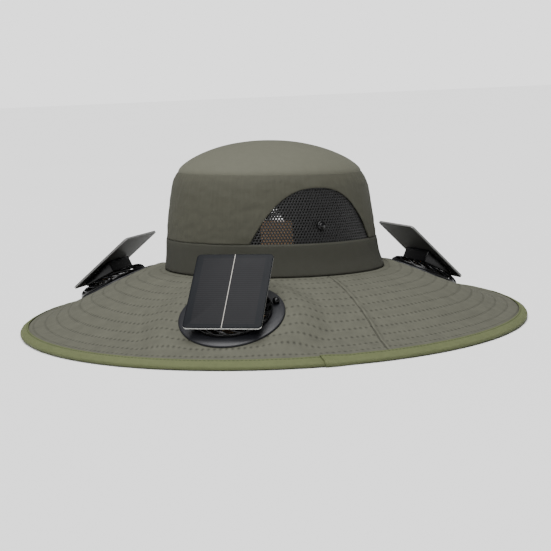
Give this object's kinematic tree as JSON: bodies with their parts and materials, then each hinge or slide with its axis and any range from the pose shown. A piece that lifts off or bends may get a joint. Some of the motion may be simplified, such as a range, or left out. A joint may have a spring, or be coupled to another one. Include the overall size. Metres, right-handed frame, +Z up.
{
  "type": "solar fan hat",
  "caption": "Wide-brimmed cloth sun hat with a domed crown, arched net sides, a taped edge, and small solar fans let into the brim.",
  "frame": {"origin": "centre of the bounding box, on the level plane that the brim's taped edge rests on", "axes": "+Z up out of the crown, -Y towards the front of the hat, +X towards its right side, the side with the tape's lapped joint"},
  "size_m": [0.4614, 0.4792, 0.1689],
  "materials": {
    "crown_cloth": "olive grey woven cloth, faint sheen",
    "band_cloth": "darker olive grey woven cloth",
    "brim_cloth": "grey quilted cloth, stitched in rings",
    "binding_tape": "yellow-green twill tape",
    "net": "black knitted net",
    "label": "plain tan woven patch",
    "black_plastic": "black, satin",
    "ring_plastic": "dark bluish grey, satin",
    "rotor_plastic": "pale cream",
    "motor_metal": "plain drawn can",
    "solar_cell": "blue-black cell under clear resin"
  },
  "bodies": {
    "hat": {"crown_top": "crown_cloth", "crown_wall": "crown_cloth", "crown_band": "band_cloth", "brim": "brim_cloth", "brim_binding": "binding_tape", "mesh_right": "net", "mesh_left": "net", "snap_right": "black_plastic", "snap_left": "black_plastic", "inner_label": "label", "fan_ring_front_right": "ring_plastic", "fan_cage_front_right": "black_plastic", "fan_motor_front_right": "motor_metal", "panel_stand_front_right": "black_plastic", "solar_panel_front_right": "solar_cell", "fan_knob_front_right": "black_plastic", "fan_ring_front_left": "ring_plastic", "fan_cage_front_left": "black_plastic", "fan_motor_front_left": "motor_metal", "panel_stand_front_left": "black_plastic", "solar_panel_front_left": "solar_cell", "fan_knob_front_left": "black_plastic", "fan_ring_back": "ring_plastic", "fan_cage_back": "black_plastic", "fan_motor_back": "motor_metal", "panel_stand_back": "black_plastic", "solar_panel_back": "solar_cell", "fan_knob_back": "black_plastic"},
    "rotor_front_right": {"fan_rotor_front_right": "rotor_plastic"},
    "rotor_front_left": {"fan_rotor_front_left": "rotor_plastic"},
    "rotor_back": {"fan_rotor_back": "rotor_plastic"}
  },
  "joints": [
    {"name": "rotor_spin_front_right", "type": "hinge", "parent": "hat", "child": "rotor_front_right", "pos_m": [0.11995, -0.11705, 0.0323], "axis": [0.3025, -0.2952, 0.9063], "continuous": true},
    {"name": "rotor_spin_front_left", "type": "hinge", "parent": "hat", "child": "rotor_front_left", "pos_m": [-0.13471, -0.10005, 0.0272], "axis": [-0.3607, -0.2679, 0.8934], "continuous": true},
    {"name": "rotor_spin_back", "type": "hinge", "parent": "hat", "child": "rotor_back", "pos_m": [0.01946, 0.16083, 0.0256], "axis": [0.0545, 0.4507, 0.891], "continuous": true}
  ]
}
